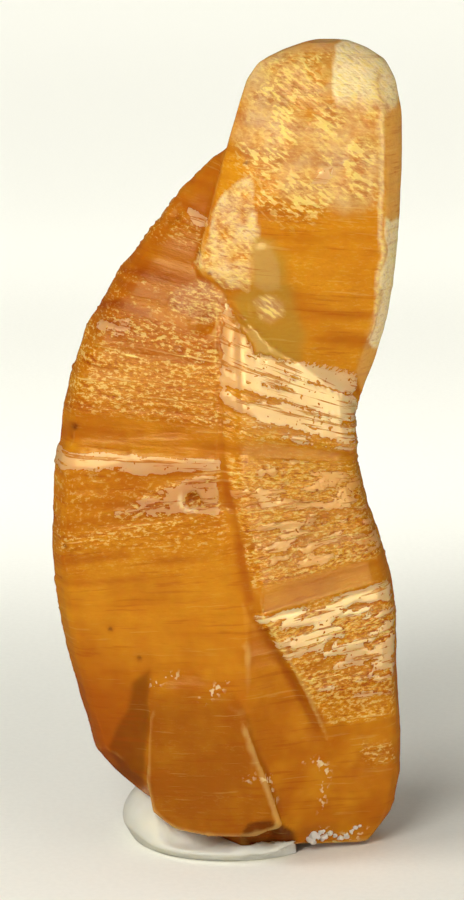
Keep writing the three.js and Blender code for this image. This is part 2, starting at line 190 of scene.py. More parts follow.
LEFT_SHINE = ((16.4, 0.0), (16.46, 1.0), (16.92, 1.0), (16.98, 0.0))
RIGHT_SHINE = (
    (6.0, 0.0), (7.5, 0.2), (8.8, 0.5), (9.5, 0.68), (10.62, 0.7), (10.7, 0.0), (12.1, 0.0),
    (12.2, 0.38), (13.4, 0.5), (15.0, 0.42), (15.5, 0.58), (16.6, 0.5), (17.1, 0.25), (17.2, 0.0),
    (17.95, 0.0), (18.1, 0.5), (18.7, 0.66), (19.2, 0.86), (22.0, 0.88),
)

# Outlines of the zones with their own look: millimetres across and up in the camera's picture.
UPPER_CRYSTAL = (
    (-0.05, 28.0), (-0.75, 24.9), (-1.2, 23.45), (-1.1, 23.05), (-0.05, 21.9), (1.25, 19.6),
    (2.9, 19.45), (5.15, 18.9), (5.55, 18.0), (7.7, 20.7), (7.7, 34.0), (0.9, 34.0),
)
TERRACES = (
    (-0.1, 21.9), (1.15, 19.7), (2.9, 19.45), (5.15, 18.95), (5.2, 15.1), (6.35, 11.5),
    (6.65, 9.5), (6.7, 5.3), (5.8, 5.05), (4.1, 4.9), (1.8, 8.3), (0.75, 9.75), (1.05, 9.9),
    (0.85, 11.1), (0.52, 12.7), (0.2, 14.15), (-0.1, 15.7), (-0.25, 18.7),
)
GROOVE = (
    (-0.35, 22.0), (0.15, 21.8), (0.05, 18.0), (0.15, 15.7), (0.7, 13.2), (1.1, 11.0), (1.3, 9.7),
    (2.9, 7.5), (4.2, 5.1), (3.6, 4.7), (2.2, 6.9), (0.8, 9.5), (0.45, 11.5), (0.0, 13.9), (-0.25, 16.3),
)
RIDGE_SIDE = (
    (-0.3, 22.1), (1.1, 20.2), (1.0, 17.0), (1.2, 14.0), (1.7, 11.2), (1.2, 9.6), (0.3, 10.0),
    (-0.1, 13.0), (-0.3, 16.3),
)
FROSTED_FACET = (
    (0.9, 27.05), (1.1, 26.1), (1.3, 24.4), (1.0, 23.3), (0.85, 22.2), (-0.3, 22.6),
    (-1.15, 23.3), (-0.85, 24.3), (-0.5, 25.35), (-0.05, 26.1),
)
CLEAR_WINDOW = (
    (1.1, 24.3), (1.8, 24.4), (2.45, 23.45), (2.6, 22.3), (3.1, 20.7), (2.9, 19.5), (1.4, 19.6),
    (0.5, 21.05), (0.2, 22.1), (0.9, 22.3),
)
LENS = (
    (1.1, 24.3), (1.5, 24.35), (1.85, 24.05), (2.1, 23.6), (2.25, 22.9), (2.2, 22.35),
    (1.6, 22.25), (1.05, 22.5),
)
PALE_CAP = (
    (4.36, 32.2), (4.36, 29.0), (5.4, 29.3), (6.1, 29.0), (6.7, 29.6), (7.2, 30.8), (6.1, 31.9),
    (5.2, 32.5),
)
BRIGHT_TOP = (
    (0.45, 29.7), (0.9, 31.3), (2.5, 32.1), (4.3, 32.4), (6.1, 31.9), (6.3, 29.4), (6.05, 25.7),
    (4.75, 25.4), (3.4, 25.9), (2.1, 26.1), (1.4, 26.9), (0.75, 27.5), (0.3, 28.3),
)
ORANGE_PATCH = ((3.1, 31.85), (4.3, 31.9), (4.3, 30.8), (3.95, 30.5), (3.15, 30.8), (3.0, 31.3))
# A painted glint on the upper crystal, laid as a growth plate.
TRIANGLE_GLINT = ((4.25, 27.3), (4.15, 26.55), (3.8, 26.25), (3.4, 26.45), (3.8, 27.05))
# The strip on the right of the upper crystal, whose cream is a painted reflection.
SIDE_SHEEN_STRIP = ((6.35, 25.2), (7.3, 25.0), (7.3, 20.1), (5.8, 20.1), (6.05, 21.9), (6.25, 23.6))
# The pale line along the upper crystal's right edge: a painted highlight.
RIM_HIGHLIGHT = (
    (6.0, 31.2), (6.2, 31.2), (6.27, 28.0), (6.22, 24.0), (6.1, 21.5), (5.85, 20.3), (5.7, 20.3),
    (5.93, 21.5), (6.05, 24.0), (6.1, 28.0),
)
ETCHED_FACE = (
    (0.5, 29.9), (1.3, 31.5), (4.1, 31.9), (4.45, 29.5), (6.05, 29.1), (5.95, 25.7), (4.5, 25.7),
    (2.9, 24.9), (1.4, 25.3), (0.5, 27.5),
)
# A wedge of the left face whose pink is a painted sheen, laid as growth plates.
PINK_SHEEN_WEDGE = (
    (-0.3, 14.95), (-0.3, 13.4), (-2.05, 13.3), (-4.3, 13.25), (-4.6, 13.45), (-3.5, 13.9),
    (-2.35, 14.5), (-1.25, 14.8),
)
# A band of the left face whose pink is a painted sheen, laid as growth plates.
PINK_SHEEN_BAND = (
    (-5.15, 21.1), (-4.35, 21.3), (-2.7, 20.7), (-0.9, 19.85), (-0.9, 19.2), (-2.05, 19.85),
    (-3.1, 20.25), (-4.35, 20.4), (-5.1, 20.65),
)
# A painted glint near the tip, laid as a growth plate.
TIP_GLINT = ((-1.55, 25.6), (-0.8, 25.2), (-0.75, 24.9), (-1.1, 24.95), (-1.55, 25.3))
GREY_CORNER = (
    (-1.65, 22.5), (-1.1, 22.7), (-0.2, 22.3), (-0.1, 21.6), (-0.6, 21.05), (-1.5, 21.2),
    (-2.3, 21.7), (-2.2, 22.15),
)
RED_STREAKS = (
    ((-5.1, 22.0), (-4.2, 21.9), (-3.0, 21.45), (-3.0, 21.1), (-4.2, 21.45), (-4.95, 21.55)),
    ((-4.3, 23.25), (-3.4, 23.15), (-2.4, 22.9), (-2.4, 22.7), (-3.4, 22.85), (-4.2, 23.0)),
)
FOOT_CRYSTAL = (
    (-3.2, 6.0), (-3.0, 6.65), (-2.35, 7.05), (-1.5, 7.2), (-0.6, 7.1), (0.1, 6.45), (0.9, 5.2),
    (1.15, 4.1), (1.65, 3.1), (1.9, 2.1), (1.8, 0.3), (-2.7, 0.3), (-3.2, 2.1), (-3.1, 4.3),
)
FOOT_TOP = ((-3.6, 7.8), (0.6, 7.8), (0.9, 5.6), (-1.4, 5.9), (-3.4, 5.4))
FOOT_SHADE = (
    (-3.85, 6.65), (-3.2, 7.05), (-3.05, 6.5), (-3.2, 4.5), (-3.25, 2.3), (-4.3, 2.9), (-4.75, 4.0),
    (-4.3, 4.8), (-4.0, 5.9),
)
# Painted shade under the rounded lip at the front of the foot.
SHADE_UNDER_LIP = ((0.5, 0.3), (0.9, 0.95), (1.6, 1.15), (2.3, 0.95), (2.8, 0.3), (1.6, -0.3))
# Cream smears of putty; the fourth and fifth, along the top edge of the foot crystal, are painted glints.
SMEARS_AND_GLINTS = (
    ((3.0, 3.45), (3.8, 3.5), (4.05, 3.2), (3.95, 1.9), (3.7, 1.5), (3.75, 2.6), (3.6, 3.2)),
    ((1.3, 2.75), (1.6, 2.85), (2.1, 1.9), (1.95, 1.75), (1.6, 2.3)),
    ((0.75, 2.95), (1.05, 3.05), (1.1, 2.8), (0.8, 2.7)),
    ((-3.15, 6.6), (-2.6, 7.1), (-1.9, 7.05), (-2.0, 6.75), (-2.5, 6.8), (-2.9, 6.35)),
    ((-1.0, 6.0), (-0.1, 6.8), (0.1, 6.65), (-0.8, 5.8)),
    ((3.55, 0.7), (4.1, 0.85), (4.35, 0.5), (5.3, 0.7), (5.6, 0.75), (5.2, 0.25), (3.9, 0.3)),
)
# A painted yellow glint in the clear window.
WINDOW_GLINT = ((1.2, 21.75), (1.7, 22.0), (2.2, 21.8), (2.25, 21.3), (1.8, 21.1), (1.4, 21.3))
# The pit's bright rim, on its lower left, is a painted highlight.
PIT = np.array((-1.42, 13.92))  # a round dent with a bright rim
NICK = np.array((-6.15, 16.85))  # a small dark dent beside the left edge
SPECKS = (
    (-4.67, 8.76), (-3.5, 7.6), (0.78, 27.4), (4.1, 29.6), (-1.1, 23.8), (-0.7, 23.0), (-6.45, 12.1),
)
LOW_SPARKLE = ((5.4, 4.1), (6.5, 4.3), (6.7, 3.6), (5.9, 3.3), (5.3, 3.6))

# How far some of these zones are etched, sugary, covered by growth plates, and cream-coloured. The
# plates on the tip glint and the chip glint are painted glints; the cream of the side strip is a
# painted reflection and that of the rim line a painted highlight.
ETCHED = ((PALE_CAP, 0.6), (SIDE_SHEEN_STRIP, 0.5), (RIM_HIGHLIGHT, 0.8), (FROSTED_FACET, 0.5))
FROSTED = ((PINK_SHEEN_WEDGE, 0.8), (PINK_SHEEN_BAND, 0.8), (GREY_CORNER, 0.8), (FROSTED_FACET, 0.7))
PLATED = ((PINK_SHEEN_WEDGE, 0.7), (PINK_SHEEN_BAND, 0.2), (TIP_GLINT, 1.0), (TRIANGLE_GLINT, 1.0))
CREAMY = ((ORANGE_PATCH, 0.1), (SIDE_SHEEN_STRIP, 0.95), (RIM_HIGHLIGHT, 0.5))

# Crumbs of putty on the front of the crystals: place across, height and radius in millimetres.
# Each is found from well in front, and two waves, in turns per millimetre, make it lumpy.
CRUMB_START = -20
CRUMB_WAVES = (3.1, 9.0)
FINE_CRUMB_WAVE = 0.8
CRUMB_LUMPINESS = 0.9
CRUMBS = (
    (3.4, 0.5, 0.16), (3.6, 0.72, 0.17), (3.8, 0.85, 0.14), (3.95, 0.66, 0.15), (4.15, 0.8, 0.1),
    (4.35, 0.62, 0.1), (4.6, 0.52, 0.11), (4.85, 0.6, 0.12), (5.05, 0.76, 0.11), (5.2, 0.95, 0.1),
    (5.4, 1.0, 0.08),
)


class SapphireLook(bpy.types.PropertyGroup):
    """Sizes and colours of the crystals."""

    grain: FloatProperty(
        name="Grain",
        description="Size of the faces that the surface is made of",
        default=0.128 * MM,
        min=0.1 * MM,
        unit="LENGTH",
        precision=5,
    )
    striation: FloatProperty(
        name="Striation",
        description="Depth of the growth lines across the faces",
        default=0.024 * MM,
        unit="LENGTH",
        precision=5,
    )
    terrace: FloatProperty(
        name="Terrace",
        description="Height of the small growth plates on the right face",
        default=0.05 * MM,
        unit="LENGTH",
        precision=5,
    )
    amber: FloatVectorProperty(
        name="Amber",
        description="Colour of most of the crystal",
        default=(0.53, 0.165, 0.004),
        subtype="COLOR",
        min=0,
        max=1,
    )
    # Honey is also laid on the right-turned faces of the upper crystal as painted light.
    honey: FloatVectorProperty(
        name="Honey",
        description="Colour of the lighter growth bands",
        default=(0.76, 0.32, 0.01),
        subtype="COLOR",
        min=0,
        max=1,
    )
    # Ember is also laid as painted shade in the creases, the groove and the gaps of the etching.
    ember: FloatVectorProperty(
        name="Ember",
        description="Colour of the reddest streaks and of the creases",
        default=(0.38, 0.074, 0.002),
        subtype="COLOR",
        min=0,
        max=1,
    )
    # Brown is also laid as painted shade beside the foot and under its lip.
    brown: FloatVectorProperty(
        name="Brown",
        description="Colour of the dark parts at the foot",
        default=(0.17, 0.042, 0.002),
        subtype="COLOR",
        min=0,
        max=1,
    )
    # The glints in this colour are painted highlights, and it also paints highlights on the edges.
    spark: FloatVectorProperty(
        name="Spark",
        description="Colour of the glints in the etching",
        default=(0.97, 0.71, 0.2),
        subtype="COLOR",
        min=0,
        max=1,
    )
    straw: FloatVectorProperty(
        name="Straw",
        description="Colour of the clear window in the upper crystal",
        default=(0.5, 0.28, 0.03),
        subtype="COLOR",
        min=0,
        max=1,
    )
    # Cream is also a painted reflection on the strip on the right, a painted highlight on the rim line and
    # the pit's rim, and painted light on the right-turned faces.
    cream: FloatVectorProperty(
        name="Cream",
        description="Colour of the pale cap, the frosted facet and the strip on the right",
        default=(0.99, 0.83, 0.45),
        subtype="COLOR",
        min=0,
        max=1,
    )
    # Peach is the plates' painted sheen, turning to cream where they gleam.
    peach: FloatVectorProperty(
        name="Peach",
        description="Colour of the mirror-bright growth plates",
        default=(0.78, 0.42, 0.17),
        subtype="COLOR",
        min=0,
        max=1,
    )


class PuttyLook(bpy.types.PropertyGroup):
    """Sizes and colours of the mounting putty."""

    grain: FloatProperty(
        name="Grain",
        description="Size of the faces that the surface is made of",
        default=0.12 * MM,
        min=0.1 * MM,
        unit="LENGTH",
        precision=5,
    )
    reach: FloatProperty(
        name="Reach",
        description="How far the putty is pulled to the crystals",
        default=0.7 * MM,
        unit="LENGTH",
        precision=5,
    )
    tint: FloatVectorProperty(
        name="Tint",
        description="Colour of the putty",
        default=(0.89, 0.85, 0.7),
        subtype="COLOR",
        min=0,
        max=1,
    )


class StageLook(bpy.types.PropertyGroup):
    """Colours and brightness of the photographer's table."""

    paper: FloatVectorProperty(
        name="Paper",
        description="Colour of the sheet of paper",
        default=(0.93, 0.92, 0.82),
        subtype="COLOR",
        min=0,
        max=1,
    )
    daylight: FloatProperty(
        name="Daylight",
        description="Brightness of the light from all round",
        default=0.05,
        min=0,
    )


class Signal:
    """A socket of a node tree. Python's operators on it add Math nodes."""

    def __init__(self, recipe, socket):
        self.recipe = recipe
        self.socket = socket

    def maths(self, operation, first, second, clamp=False):
        """A Math node on two values, of which at least one is a signal."""
        settings = {"operation": operation, "use_clamp": clamp}
        return self.recipe.node("ShaderNodeMath", settings, {0: first, 1: second})

    def __add__(self, other):
        return self.maths("ADD", self, other)

    def __sub__(self, other):
        return self.maths("SUBTRACT", self, other)

    def __rsub__(self, other):
        return self.maths("SUBTRACT", other, self)

    def __mul__(self, other):
        return self.maths("MULTIPLY", self, other)

    __radd__ = __add__
    __rmul__ = __mul__

    def clamped(self):
        """The same value, kept between 0 and 1."""
        return self.maths("ADD", self, 0.0, clamp=True)

    def rise(self, low, high):
        """0 below low, 1 above high and smooth between them."""
        values = {"Value": self, "From Min": low, "From Max": high}
        return self.recipe.node("ShaderNodeMapRange", {"interpolation_type": "SMOOTHSTEP"}, values)

    def fall(self, low, high):
        """1 below low, 0 above high and smooth between them."""
        return self.rise(high, low)


class Recipe:
    """A material that is built up node by node."""

    def __init__(self, name):
        self.material = bpy.data.materials.new(name)
        self.material.use_nodes = True
        self.tree = self.material.node_tree
        self.tree.nodes.clear()

    def node(self, kind, settings=None, values=None, output=0):
        """A node with its settings, then the values or links of its sockets."""
        made = self.tree.nodes.new(kind)
        for name, setting in (settings or {}).items():
            setattr(made, name, setting)
        for name, value in (values or {}).items():
            if isinstance(value, Signal):
                self.tree.links.new(value.socket, made.inputs[name])
            elif isinstance(made.inputs[name].default_value, float):
                made.inputs[name].default_value = value
            else:
                size = len(made.inputs[name].default_value)
                made.inputs[name].default_value = (*value, 1.0)[:size]
        return Signal(self, made.outputs[output]) if made.outputs else None

    def attribute(self, name, output="Fac"):
        """A value that was painted on the mesh."""
        return self.node("ShaderNodeAttribute", {"attribute_name": name}, output=output)

    def stretched(self, vector, factors):
        """A vector with each of its parts multiplied by a factor."""
        return self.node("ShaderNodeVectorMath", {"operation": "MULTIPLY"}, {0: vector, 1: factors})

    def position(self):
        """The place on the piece, in millimetres."""
        return self.stretched(self.node("ShaderNodeTexCoord", output="Object"), (1 / MM,) * 3)

    def speckle(self, vector, scale=1.0, detail=2.0, roughness=0.5):
        """Noise from 0 to 1, with so many lumps for each unit of the vector."""
        values = {"Vector": vector, "Scale": scale, "Detail": detail, "Roughness": roughness}
        return self.node("ShaderNodeTexNoise", None, values)

    def blend(self, share, below, above):
        """One colour over another, by a share from 0 to 1."""
        return self.node("ShaderNodeMix", {"data_type": "RGBA"}, {0: share, 6: below, 7: above}, output=2)

    def bump(self, height, distance):
        """The normal of a surface that is raised by a height of 0 to 1, times a distance."""
        return self.node("ShaderNodeBump", None, {"Height": height, "Distance": distance})

    def finish(self, surface, volume=None):
        """The material with its surface and volume joined to the output."""
        values = {"Surface": surface}
        if volume:
            values["Volume"] = volume
        self.node("ShaderNodeOutputMaterial", None, values)
        return self.material


def coordinates(mesh):
    """The places of a mesh's points."""
    flat = np.empty(len(mesh.vertices) * 3, np.float32)
    mesh.vertices.foreach_get("co", flat)
    return flat.reshape(-1, 3).astype(float)


def normals(mesh):
    """The outward directions at a mesh's points."""
    flat = np.empty(len(mesh.vertices) * 3, np.float32)
    mesh.vertex_normals.foreach_get("vector", flat)
    return flat.reshape(-1, 3).astype(float)


def place(mesh, points):
    """Moves a mesh's points to new places."""
    mesh.vertices.foreach_set("co", points.astype(np.float32).ravel())
    mesh.update()


def paint(mesh, name, values):
    """Keeps a number or a vector for each point, for the material to read."""
    kind, key = ("FLOAT", "value") if values.ndim == 1 else ("FLOAT_VECTOR", "vector")
    attribute = mesh.attributes.new(name, kind, "POINT")
    attribute.data.foreach_set(key, values.astype(np.float32).ravel())


def field(points, size, seed=0.0):
    """A smooth random field over points, about -1 to 1, with lumps of the given size."""
    cells = points / np.asarray(size, float) + seed * SEED_STEP
    return np.array([noise.noise(cell) for cell in cells.tolist()])


def rise(values, low, high):
    """0 below low, 1 above high and smooth between them."""
    share = np.clip((values - low) / (high - low), 0, 1)
    return share * share * (3 - 2 * share)


def fall(values, low, high):
    """1 below low, 0 above high and smooth between them."""
    return rise(values, high, low)


def broken(points, size, seed, octaves=3):
    """A random field with finer and finer detail."""
    layers = (
        field(points, np.asarray(size) / FINER**octave, seed + octave) / FAINTER**octave
        for octave in range(octaves)
    )
    return sum(layers)


def seen(points):
    """Where points in millimetres appear in the camera's picture, across and up."""
    target, distance = np.array(CAMERA_TARGET) / MM, CAMERA_DISTANCE / MM
    offset = points - target
    scale = distance / (distance - offset @ TOWARDS_CAMERA)
    across, up = offset[:, 0] * scale, (offset @ UP_IN_VIEW) * scale
    return np.stack((target[0] + across, target @ UP_IN_VIEW + up), axis=1)


def zone(view, outline, blur):
    """1 inside an outline and 0 outside it, smooth over the blur's width."""
    corners = np.array(outline)
    distance = np.full(len(view), np.inf)
    inside = np.zeros(len(view), bool)
    for start, end in zip(corners, np.roll(corners, -1, axis=0)):
        edge, offset = end - start, view - start
        share = np.clip(offset @ edge / (edge @ edge), 0, 1)
        away = np.linalg.norm(offset - share[:, None] * edge, axis=1)
        distance = np.minimum(distance, away)
        if edge[1]:
            crossing = start[0] + offset[:, 1] * edge[0] / edge[1]
            spans = (start[1] > view[:, 1]) != (end[1] > view[:, 1])
            inside ^= spans & (view[:, 0] < crossing)
    signed = np.where(inside, distance, -distance)
    return rise(signed, -blur / 2, blur / 2)


def along(rows, layer):
    """An amount that changes with the growth layer."""
    heights, amounts = np.array(rows).T
    return np.interp(layer, heights, amounts)


def over(below, above, share):
    """One amount over another, by a share from 0 to 1."""
    return below + (above - below) * share


def ranked(values):
    """For each value, the share of all values that are lower."""
    ranks = np.empty(len(values))
    ranks[np.argsort(values)] = np.linspace(0, 1, len(values))
    return ranks


def growth_space(points, upper):
    """Across the face from the ridge, growth layer and depth, for points in millimetres.

    The layer and the place across depend on each other, so they are found round after round.
    """
    heights, ridge, left, right = GROWTH_LINES.T
    layer = points[:, 2].copy()
    aside = points[:, 0].copy()
    for _ in range(LAYER_ROUNDS):
        aside = points[:, 0] - np.interp(layer, heights, ridge)
        climb = np.where(aside < 0, np.interp(layer, heights, left), np.interp(layer, heights, right))
        layer = points[:, 2] - aside * climb
    layer = over(layer, points[:, 2] - points[:, 0] * UPPER_CLIMB, upper)
    return np.stack((aside, layer, points[:, 1]), axis=1)


def remeshed(source, name, grain):
    """A copy of a solid, to sculpt in millimetres, with small even faces as wide as the grain."""
    mesh = source.data.copy()
    mesh.materials.clear()
    draft = bpy.data.objects.new(name, mesh)
    bpy.context.scene.collection.objects.link(draft)
    weld = draft.modifiers.new("Weld", "WELD")
    weld.merge_threshold = WELD_DISTANCE
    voxels = draft.modifiers.new("Voxels", "REMESH")
    voxels.mode = "VOXEL"
    voxels.voxel_size = grain
    depsgraph = bpy.context.evaluated_depsgraph_get()
    made = bpy.data.meshes.new_from_object(draft.evaluated_get(depsgraph))
    made.name = name
    draft.modifiers.clear()
    draft.data = made
    bpy.data.meshes.remove(mesh)
    made.transform(Matrix.Scale(1 / MM, 4))
    return draft


def smoothed(points, edges, rounds):
    """Points that are drawn half way to the middle of their neighbours, round after round."""
    first, second = edges.T
    count = len(points)
    neighbours = np.bincount(edges.ravel(), minlength=count)
    for _ in range(rounds):
        sums = [
            np.bincount(first, points[second, axis], count) + np.bincount(second, points[first, axis], count)
            for axis in range(3)
        ]
        points = (points + np.stack(sums, axis=1) / neighbours[:, None]) / 2
    return points


def edge_pairs(mesh):
    """The two points of each edge."""
    flat = np.empty(len(mesh.edges) * 2, np.int32)
    mesh.edges.foreach_get("vertices", flat)
    return flat.reshape(-1, 2)


def settle(draft, material, node):
    """Takes a sculpted piece back to metres and hands it over."""
    mesh = draft.data
    mesh.transform(Matrix.Scale(MM, 4))
    mesh.polygons.foreach_set("use_smooth", np.ones(len(mesh.polygons), bool))
    mesh.materials.append(material)
    mesh.update()
    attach(draft, BODY)
    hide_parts(node)


def sapphire_material(look):
    """Partly clear corundum with growth bands, sugary etching and mirror-bright plates, with painted glints,
    sheen and shade in its colour.
    """
    recipe = Recipe("orange_sapphire")
    growth = recipe.attribute("growth", "Vector")
    here = recipe.position()
    names = (
        "light", "ember", "brown", "straw", "cream", "frost", "etch", "shine", "relief", "gleam",
        "bulge", "clear", "smear_and_glint",
    )
    marks = {name: recipe.attribute(name) for name in names}

    # Noise that follows the growth layers, the slant of the etching, or neither.
    streaks = recipe.speckle(recipe.stretched(growth, STREAKS_GRAIN), detail=3, roughness=0.6)
    sugar = recipe.speckle(recipe.stretched(growth, SUGAR_GRAIN), detail=2, roughness=0.7)
    lean = (0.0, math.radians(-ETCHING_LEAN), 0.0)
    slant = recipe.node("ShaderNodeMapping", None, {"Vector": here, "Rotation": lean})
    dashes = recipe.speckle(recipe.stretched(slant, DASHES_GRAIN), detail=1, roughness=0.6)
    pores = recipe.speckle(here, scale=PORES_GRAIN, detail=1)

    # Growth plates with ragged rims, broken by pores and streaks.
    etch, frost, gleam = marks["etch"], marks["frost"], marks["gleam"]
    ragged = (sugar - 0.5) * 0.5 + (streaks - 0.5) * 0.5
    margin = marks["shine"] - marks["relief"] + ragged
    stepped = marks["shine"].rise(0.01, 0.1)
    plate = margin.rise(-0.015, 0.02) * stepped
    plate = plate * (1 - pores.rise(0.67, 0.7)) * (1 - streaks.rise(0.55, 0.59) * 0.9)
    bare = 1 - plate

    # Painted glints and painted shade of the etched surface between the plates: the glints are painted
    # highlights, the dark gaps painted shade in the hollows between grains, along the low streaks and
    # round the foot of each plate's step.
    glints = (sugar + frost * 0.06).rise(0.56, 0.66) * frost.rise(0.0, 0.6) * 0.55
    glints = glints + streaks.rise(0.63, 0.69) * (frost * 0.6 + 0.08)
    glints = (glints + (dashes + etch * 0.06).rise(0.59, 0.64) * etch * 0.85).clamped() * bare
    gaps = sugar.fall(0.36, 0.5) * frost * 0.8 + streaks.fall(0.32, 0.44) * 0.4
    gaps = gaps + margin.rise(-0.14, -0.02) * stepped * 0.45
    gaps = (gaps * (1 - etch * 0.6) + dashes.fall(0.36, 0.46) * etch * 0.35) * bare
    # The bulge of the surface gives a painted highlight on its edges and painted shade in its creases.
    edges = marks["bulge"].rise(0.012, 0.035)
    creases = marks["bulge"].fall(-0.04, -0.012)

    # The colours, one over another.
    colour = recipe.blend(marks["light"], look.amber, look.honey)
    colour = recipe.blend(marks["ember"], colour, look.ember)
    colour = recipe.blend(marks["brown"], colour, look.brown)
    colour = recipe.blend(marks["straw"], colour, look.straw)
    colour = recipe.blend(marks["cream"], colour, look.cream)
    # Painted shade in the gaps of the etching and in the creases.
    colour = recipe.blend((gaps + creases * 0.4).clamped(), colour, look.ember)
    # Painted glints, and painted highlights on the edges.
    colour = recipe.blend((glints + edges * bare * 0.3).clamped(), colour, look.spark)
    # The plates' painted sheen, from peach to cream as they gleam.
    colour = recipe.blend(plate * (gleam * 0.5 + 0.4), colour, recipe.blend(gleam, look.peach, look.cream))
    # Cream smears of putty, and painted glints on the foot's broken top edge.
    colour = recipe.blend(pores.rise(0.56, 0.62) * marks["smear_and_glint"] * 0.7, colour, look.cream)

    relief = sugar * (frost * 0.06 + 0.006) + dashes * etch * 0.08 + streaks * (frost * 0.04 + 0.012)
    relief = relief * (1 - plate * 0.85) * (1 - marks["clear"] * 0.6) + plate * 0.012

    surface = recipe.node(
        "ShaderNodeBsdfPrincipled",
        None,
        {
            "Base Color": colour,
            "Roughness": 0.22 + frost * 0.05 - marks["clear"] * 0.06,
            "Normal": recipe.bump(relief, MM),
            "IOR": CORUNDUM_IOR,
            "Specular IOR Level": 0.03,
            "Coat Weight": plate * (gleam * 0.7 + 0.2),
            "Coat Roughness": 0.14,
            "Coat IOR": CORUNDUM_IOR,
            "Transmission Weight": 0.3,
            "Subsurface Weight": 0.5,
            "Subsurface Radius": (1.0, 0.4, 0.1),
            "Subsurface Scale": 1.0 * MM,
        },
    )
    volume = recipe.node("ShaderNodeVolumeAbsorption", None, {"Color": (1.0, 0.55, 0.1), "Density": 90.0})
    return recipe.finish(surface, volume)


def putty_material(look):
    """Clear, slightly milky putty with a soft shine."""
    recipe = Recipe("clear_mounting_putty")
    here = recipe.position()
    milk = recipe.speckle(here, scale=0.8, detail=3)
    normal = recipe.bump(recipe.speckle(here, scale=1.6, detail=2), 0.03 * MM)
    surface = recipe.node(
        "ShaderNodeBsdfPrincipled",
        None,
        {
            "Base Color": recipe.blend(milk.rise(0.4, 0.75) * 0.3, look.tint, MILKY),
            "Roughness": 0.26 + milk * 0.16,
            "Normal": normal,
            "IOR": PUTTY_IOR,
            "Transmission Weight": 0.32,
            "Subsurface Weight": 0.5,
            "Subsurface Radius": (1.0, 0.9, 0.7),
            "Subsurface Scale": 1.0 * MM,
        },
    )
    return recipe.finish(surface)


def paper_material(look):
    """Matt pale paper with a trace of fibre."""
    recipe = Recipe("pale_paper")
    here = recipe.position()
    fibre = recipe.speckle(here, scale=4.0, detail=3)
    darker = tuple(0.98 * part for part in look.paper)
    surface = recipe.node(
        "ShaderNodeBsdfPrincipled",
        None,
        {
            "Base Color": recipe.blend(fibre.rise(0.4, 0.6), look.paper, darker),
            "Roughness": 0.75 + fibre * 0.1,
            "Normal": recipe.bump(fibre, 0.01 * MM),
            "Specular IOR Level": 0.2,
        },
    )
    return recipe.finish(surface)


class CrystalSurvey:
    """What is known of each point of the crystals' mesh, before it is marked and moved.

    Masks go from 0 to 1. Lengths are in millimetres.
    """

    def __init__(self, mesh):
        edges = edge_pairs(mesh)
        points = smoothed(coordinates(mesh), edges, WEAR_ROUNDS)
        at_front = points[:, 1] < 0
        beside_ridge = zone(seen(points), RIDGE_SIDE, 0.5) * at_front
        foot_top = zone(seen(points), FOOT_TOP, 0.6) * at_front
        merging = np.maximum(beside_ridge, foot_top)[:, None]
        points = over(points, smoothed(points, edges, MERGING_ROUNDS), merging)
        place(mesh, points)

        self.points = points
        self.beside_ridge = beside_ridge
        self.outward = normals(mesh)
        self.bulge = ((points - smoothed(points, edges, EDGE_ROUNDS)) * self.outward).sum(axis=1)
        self.view = seen(points)
        straying = np.stack((field(points, 1.0, 1), field(points, 1.0, 2)), axis=1)
        self.stray = self.view + STRAY * straying

        self.upper = zone(self.view, UPPER_CRYSTAL, 0.25)
        self.front = fall(self.outward[:, 1], -0.2, 0.15)
        self.hidden = (1 - self.front) * (1 - self.upper)
        self.growth = growth_space(points, self.upper)
        self.aside, self.layer = self.growth[:, 0], self.growth[:, 1]
        self.on_right = zone(self.view, TERRACES, 0.22) * self.front
        left_of_ridge = fall(self.aside, -0.1, 0.1) * self.front
        self.on_left = left_of_ridge * (1 - self.upper) * (1 - self.on_right)
        self.foot = zone(self.view, FOOT_CRYSTAL, 0.15) * self.front
        self.groove = self.patch(GROOVE, 0.35) * (1 - self.on_right)
        self.low = fall(points[:, 2], 3.0, 11.0)
        # Faces of the upper crystal that turn to the right; shades() lightens them as painted light.
        self.side = self.upper * rise(self.outward[:, 0], 0.5, 0.8)

        self.bands = field(self.growth, WIDE_BANDS, 3) + 0.5 * field(self.growth, NARROW_BANDS, 4)
        self.calm_bands = self.bands * (1 - 0.6 * fall(self.layer, 11.0, 13.0))
        self.mottle = broken(points, 1.7, 35)
        self.relief = ranked(broken(self.growth, PLATE_LUMPS, 11, octaves=4))

        self.window_glint = self.patch(WINDOW_GLINT, 0.5)
        self.reddened = np.clip(sum(self.patch(streak) for streak in RED_STREAKS), 0, 1)
        self.nick = self.spot(NICK, NICK_SIZE)
        self.from_pit = np.linalg.norm(self.view - PIT, axis=1)
        # The lower left of the pit's rim, which gets a painted highlight.
        lower_left = rise((PIT - self.view).sum(axis=1), 0.0, 0.4)
        self.pit_rim = rise(self.from_pit, 0.3, 0.38) * fall(self.from_pit, 0.46, 0.56) * lower_left

    def patch(self, outline, blur=0.3):
        """A zone of the front with a wavering outline."""
        return zone(self.stray, outline, blur) * self.front

    def spot(self, centre, size):
        """A soft round spot on the front."""
        away = np.linalg.norm(self.view - centre, axis=1)
        return np.exp(-((away / size) ** 2)) * self.front


def etching(here):
    """How far the slanted glints of etched faces cover each point."""
    patchy = 0.4 + 0.6 * rise(field(here.points, 1.1, 41), -0.25, 0.15)
    etch = zone(here.stray, ETCHED_FACE, 1.0) * patchy
    for outline, amount in ETCHED:
        etch = np.maximum(etch, amount * zone(here.stray, outline, 0.3))
    return etch


